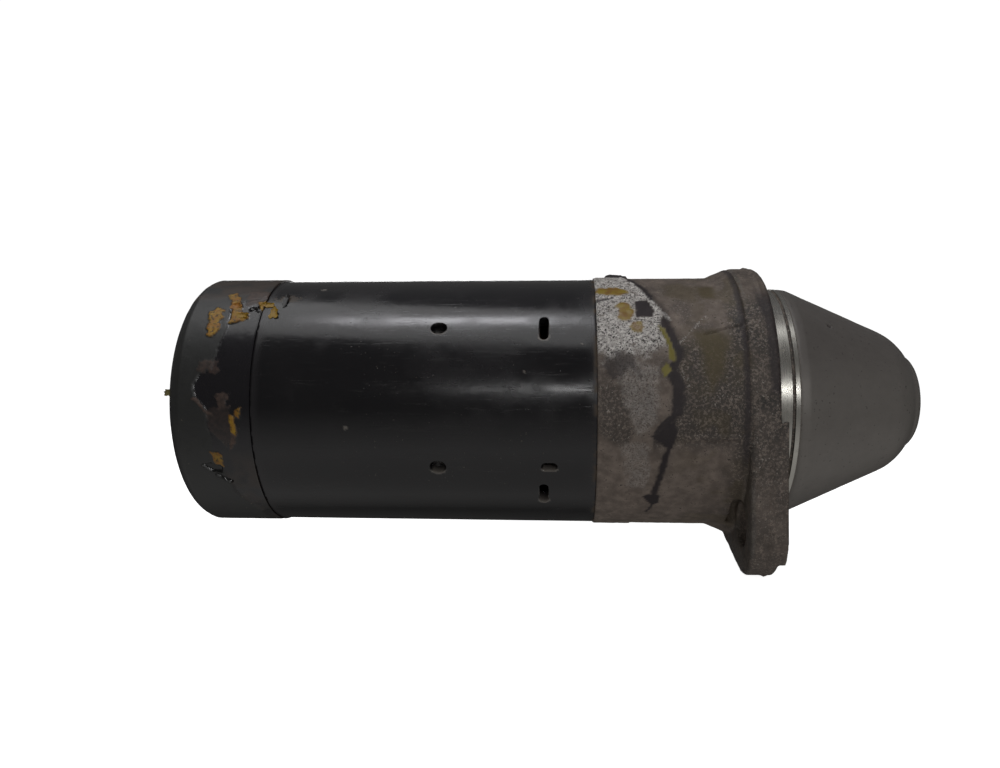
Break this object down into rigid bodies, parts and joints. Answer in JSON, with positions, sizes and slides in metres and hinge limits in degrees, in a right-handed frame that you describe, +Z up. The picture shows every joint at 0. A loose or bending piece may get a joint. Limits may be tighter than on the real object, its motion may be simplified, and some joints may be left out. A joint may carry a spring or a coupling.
{
  "type": "starter motor",
  "caption": "Vehicle starter motor: long black yoke, aluminium drive housing with two-ear flange and tapered nose, side solenoid, planetary gear and sliding pinion.",
  "frame": {"origin": "centre of the pilot spigot, in the plane of the mounting pads", "axes": "+X along the motor axis towards the drive nose, +Z up, solenoid on the +Y side"},
  "size_m": [0.2321, 0.1351, 0.0988],
  "materials": {
    "cast_aluminium": "rough sand-cast, grimy",
    "black_paint": "gloss black paint, worn",
    "cap_paint": "satin black paint, flaking",
    "plated_steel": "zinc plated",
    "dark_steel": "oiled, hardened",
    "lamination_steel": "stamped",
    "copper": "bare copper",
    "brass_sheet": "pressed",
    "bronze": "sintered",
    "ferrite": "pressed ferrite",
    "carbon": "sintered carbon and copper",
    "moulded_plastic": "glass-filled, matte",
    "bobbin_plastic": "natural nylon",
    "rubber": "matte",
    "spring_steel": "drawn",
    "lead_sleeve": "woven sleeve"
  },
  "bodies": {
    "casing": {"drive_housing": "cast_aluminium", "yoke": "black_paint", "rear_cap": "cap_paint", "rear_bush": "bronze", "magnets": "ferrite", "magnet_clips": "spring_steel", "through_bolts": "plated_steel", "brush_plate": "plated_steel", "brush_plate_screws": "plated_steel", "brush_holders": "brass_sheet", "brushes": "carbon", "brush_springs": "spring_steel", "positive_bus": "copper", "motor_lead": "lead_sleeve", "lead_terminal": "copper", "lead_grommet": "rubber", "ring_gear": "dark_steel", "gear_cover": "plated_steel", "bearing_plate": "plated_steel", "bearing_bush": "bronze", "nose_bush": "bronze", "lever_pivot_pin": "dark_steel", "solenoid_can": "plated_steel", "solenoid_gasket": "rubber", "coil_bobbin": "bobbin_plastic", "pull_in_winding": "copper", "hold_in_winding": "copper", "solenoid_core": "dark_steel", "plunger_spring": "spring_steel", "contact_spring": "spring_steel", "terminal_cap": "moulded_plastic", "terminal_studs": "copper", "terminal_hardware": "plated_steel", "switch_tab": "brass_sheet", "solenoid_screws": "plated_steel"},
    "armature": {"armature_shaft": "dark_steel", "armature_core": "lamination_steel", "armature_winding": "copper", "commutator_bars": "copper", "commutator_hub": "moulded_plastic"},
    "carrier": {"output_shaft": "dark_steel", "planet_pins": "dark_steel", "pilot_bush": "bronze", "stop_ring": "plated_steel", "stop_clip": "spring_steel"},
    "planet_1": {"planet_gear_1": "dark_steel"},
    "planet_2": {"planet_gear_2": "dark_steel"},
    "planet_3": {"planet_gear_3": "dark_steel"},
    "collar": {"shift_collar": "plated_steel"},
    "clutch": {"clutch_shell": "dark_steel", "clutch_rollers": "dark_steel", "clutch_springs": "spring_steel", "clutch_cover": "plated_steel", "collar_clip": "spring_steel"},
    "pinion": {"drive_pinion": "dark_steel", "pinion_bush": "bronze"},
    "lever": {"fork_lever": "plated_steel"},
    "plunger": {"plunger": "plated_steel"},
    "contact": {"contact_bridge": "copper", "push_rod": "bobbin_plastic"}
  },
  "joints": [
    {"name": "armature_spin", "type": "hinge", "parent": "casing", "child": "armature", "pos_m": [-0.11, 0, 0], "axis": [1, 0, 0], "continuous": true},
    {"name": "carrier_spin", "type": "hinge", "parent": "casing", "child": "carrier", "pos_m": [-0.03, 0, 0], "axis": [1, 0, 0], "continuous": true},
    {"name": "planet_spin_1", "type": "hinge", "parent": "carrier", "child": "planet_1", "pos_m": [-0.046, 0.01688, 0], "axis": [1, 0, 0], "continuous": true},
    {"name": "planet_spin_2", "type": "hinge", "parent": "carrier", "child": "planet_2", "pos_m": [-0.046, -0.00844, 0.01461], "axis": [1, 0, 0], "continuous": true},
    {"name": "planet_spin_3", "type": "hinge", "parent": "carrier", "child": "planet_3", "pos_m": [-0.046, -0.00844, -0.01461], "axis": [1, 0, 0], "continuous": true},
    {"name": "plunger_slide", "type": "slide", "parent": "casing", "child": "plunger", "axis": [-1, 0, 0], "range_m": [0, 0.0085], "stiffness_N_per_m": 900, "springref_m": -0.004, "deforming": ["plunger_spring"]},
    {"name": "fork_pivot", "type": "hinge", "parent": "casing", "child": "lever", "pos_m": [-0.011, 0.042, 0], "axis": [0, 0, 1], "range_deg": [0, 19.1]},
    {"name": "drive_slide", "type": "slide", "parent": "carrier", "child": "collar", "axis": [1, 0, 0], "range_m": [0, 0.014]},
    {"name": "drive_twist", "type": "hinge", "parent": "collar", "child": "clutch", "pos_m": [-0.01, 0, 0], "axis": [1, 0, 0], "range_deg": [0, 45.82]},
    {"name": "pinion_overrun", "type": "hinge", "parent": "clutch", "child": "pinion", "pos_m": [0.013, 0, 0], "axis": [1, 0, 0], "continuous": true},
    {"name": "contact_slide", "type": "slide", "parent": "casing", "child": "contact", "axis": [-1, 0, 0], "range_m": [0, 0.003], "deforming": ["contact_spring"]}
  ],
  "couplings": [
    {"joint": "carrier_spin", "follows": "armature_spin", "ratio": 0.22222},
    {"joint": "planet_spin_1", "follows": "armature_spin", "ratio": -0.62222},
    {"joint": "planet_spin_2", "follows": "armature_spin", "ratio": -0.62222},
    {"joint": "planet_spin_3", "follows": "armature_spin", "ratio": -0.62222},
    {"joint": "fork_pivot", "follows": "plunger_slide", "rad_per_m": 39.218},
    {"joint": "drive_slide", "follows": "plunger_slide", "ratio": 1.647},
    {"joint": "drive_twist", "follows": "plunger_slide", "rad_per_m": 94.079},
    {"joint": "contact_slide", "follows": "plunger_slide", "ratio": 0.35293}
  ]
}
